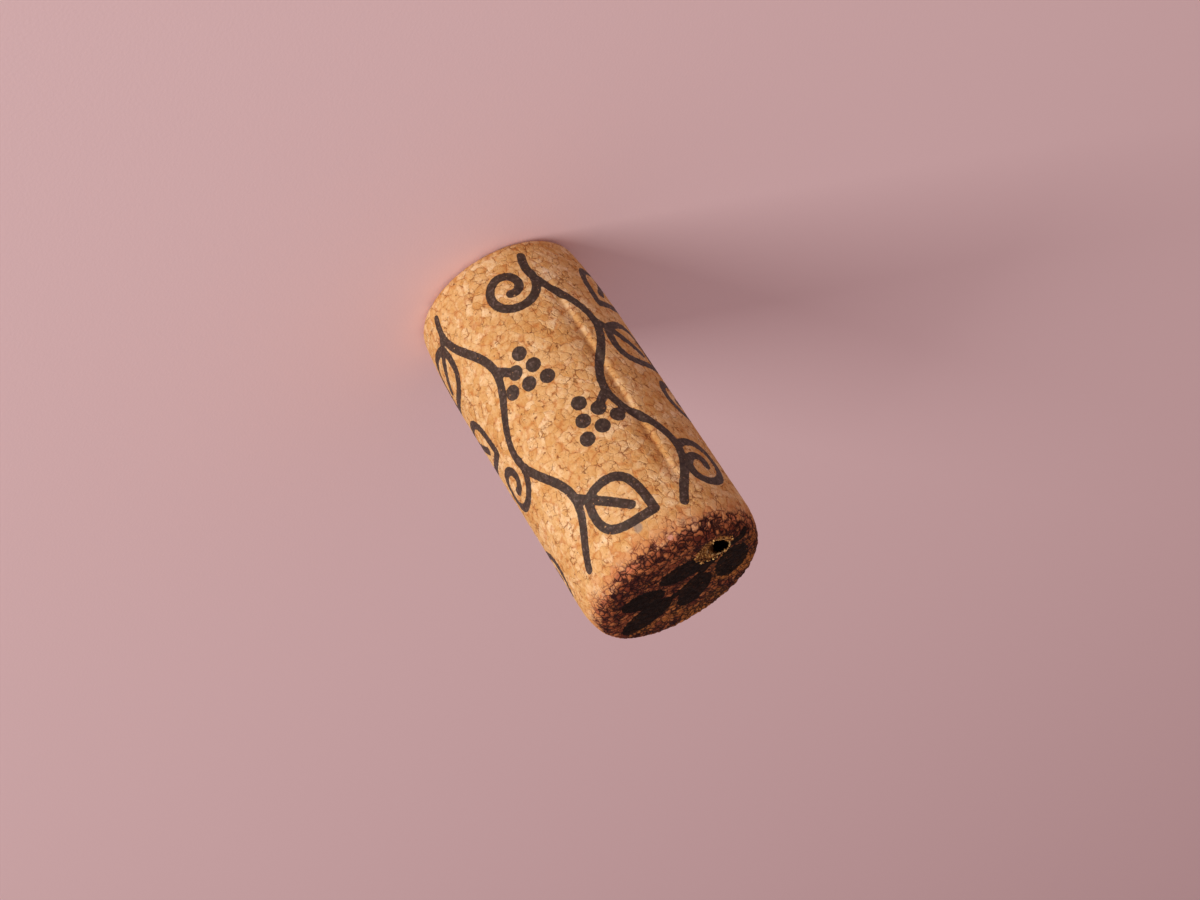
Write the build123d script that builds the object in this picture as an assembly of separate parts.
"""A used wine stopper of agglomerated cork, in one piece, drawn with a corkscrew. Millimetres.

The stopper stands on the end that faced the top of the bottle, its origin at the centre of that
end, with the end that touched the wine up, along +Z. The corkscrew went in at the bottom here and
came out beside the middle of the wine end. A crease left by the corking machine runs down one side.
"""
from build123d import *
from math import atan2, cos, degrees, radians, sin, sqrt
import os

# The stopper's body: a straight belly between two ends that the bottle's neck has drawn in
length = 44.0
belly_radius = 10.85

# Bottle-top end: a slight taper, and its soft edge
top_taper_length = 11.0
top_taper_drop = 0.72
top_edge_radius = 1.1

# Wine end: it leaves the belly on a ball of the belly's own radius, then has its own soft edge
wine_dome_length = 4.8
wine_edge_radius = 1.2

# Crease: a fold with one gentle wall and one steep wall, deepest halfway and fading out at both ends
crease_azimuth = 236.0
crease_start = 6.0
crease_wine_gap = 5.0
crease_depth = 0.5
crease_gentle_width = 2.2
crease_steep_width = 0.5

# Corkscrew's track: the helix that its wire left, partly closed to a pointed slot. It stays open for
# a little over a turn from each end, and the cork has closed on itself between
track_width = 1.8
track_height = 1.2
track_open_length = 13.0
helix_radius = 4.0
helix_pitch = 11.0
entry_offset = 0.6
exit_offset = 2.75
exit_azimuth = 217.4

# Shallow torn dishes where the wire broke in and out, a little ahead of the wire at its way out
torn_depth = 0.5
entry_torn_width = 3.4
exit_torn_width = 3.6
exit_torn_lead = 0.7

# How far a cutting solid stands out of what it cuts
overrun = track_width


def polar(radius, azimuth):
    """Point of the XY plane at a radius and an azimuth in degrees, counted from +X towards +Y."""
    return Vector(radius * cos(radians(azimuth)), radius * sin(radians(azimuth)))


def make_body():
    """The stopper as the bottle's neck has shaped it, before it was creased and pierced."""
    top_rim = (belly_radius - top_taper_drop, 0)
    wine_rim = (sqrt(belly_radius**2 - wine_dome_length**2), length)
    belly_start = (belly_radius, top_taper_length)
    belly_end = (belly_radius, length - wine_dome_length)
    side = Polyline((0, 0), top_rim, belly_start, belly_end)
    dome = TangentArc(belly_end, wine_rim, tangent=(0, 1))
    middle = Polyline(wine_rim, (0, length), (0, 0))
    half_section = make_face(Curve() + [side, dome, middle])
    half_section = fillet(half_section.vertices().sort_by_distance(top_rim)[0], top_edge_radius)
    half_section = fillet(half_section.vertices().sort_by_distance(wine_rim)[0], wine_edge_radius)
    return revolve(Plane.XZ * half_section, axis=Axis.Z)


def make_crease_cutter():
    """A wedge of V section that swings along a shallow arc, and so leaves the belly at both ends."""
    half_length = (length - crease_wine_gap - crease_start) / 2
    arc_radius = (half_length**2 + crease_depth**2) / (2 * crease_depth)
    swing = degrees(atan2(half_length, arc_radius - crease_depth))
    height = crease_depth + overrun
    spread = height / crease_depth
    gentle_corner = (crease_gentle_width * spread, height)
    steep_corner = (-crease_steep_width * spread, height)
    wedge = make_face(Polyline((0, 0), gentle_corner, steep_corner, close=True))
    across = polar(1, crease_azimuth + 90)
    lift = Vector(0, 0, crease_start + half_length)
    bottom = polar(belly_radius - crease_depth, crease_azimuth) + lift
    pivot = Axis(polar(belly_radius - crease_depth + arc_radius, crease_azimuth) + lift, across)
    placed = Plane(bottom, x_dir=across, z_dir=(0, 0, -1)) * wedge
    return revolve(placed.rotate(pivot, -swing), axis=pivot, revolution_arc=2 * swing)


def make_track_cutter(start, end):
    """The corkscrew's slot between two heights on its helix, which leans towards its way out."""
    lean = degrees(atan2(exit_offset - entry_offset, length))
    screw_length = length / cos(radians(lean))
    helix = Helix(pitch=helix_pitch, height=end - start, radius=helix_radius)
    half_width = track_width / 2
    half_height = track_height / 2
    corners = [(half_width, 0), (0, half_height), (-half_width, 0), (0, -half_height)]
    across_wire = Plane(helix @ 0, x_dir=(1, 0, 0), z_dir=helix % 0)
    track = sweep(across_wire * make_face(Polyline(*corners, close=True)), path=helix, is_frenet=True)
    clocking = 360 * (start - screw_length) / helix_pitch
    upright = Rot(0, 0, clocking) * Pos(0, 0, start) * track
    return Rot(0, 0, exit_azimuth) * Pos(entry_offset, 0, 0) * Rot(0, lean, 0) * upright


def make_torn_cutter(width):
    """A ball that cuts a dish of this width and of the torn depth from a face at z = 0.

    It lies on its side, so that neither its poles nor its seam touch the dish.
    """
    ball_radius = (width**2 / 4 + torn_depth**2) / (2 * torn_depth)
    return Pos(0, 0, ball_radius - torn_depth) * Rot(90, 0, 0) * Sphere(ball_radius)


def make_way_in():
    """What the corkscrew took from the bottle-top end: its open track and the dish round it."""
    place = polar(entry_offset, exit_azimuth) + polar(helix_radius, exit_azimuth - 360 * length / helix_pitch)
    dish = Pos(*place) * Rot(180, 0, 0) * make_torn_cutter(entry_torn_width)
    return [make_track_cutter(-overrun, track_open_length), dish]


def make_way_out():
    """What it took from the wine end, where the cork broke out ahead of the wire."""
    place = polar(exit_offset + helix_radius, exit_azimuth) + polar(exit_torn_lead, exit_azimuth + 90)
    dish = Pos(*place) * Pos(0, 0, length) * make_torn_cutter(exit_torn_width)
    return [make_track_cutter(length - track_open_length, length + overrun), dish]


def make_cork():
    """The whole stopper."""
    return make_body() - [make_crease_cutter(), *make_way_in(), *make_way_out()]


if __name__ == "__main__":
    os.makedirs("parts", exist_ok=True)
    cork = make_cork().solid()
    export_step(cork, "parts/cork.step")
    box = cork.bounding_box()
    print(f"cork {box.size.X:.2f} x {box.size.Y:.2f} x {box.size.Z:.2f} mm, {cork.volume / 1000:.3f} cm3")
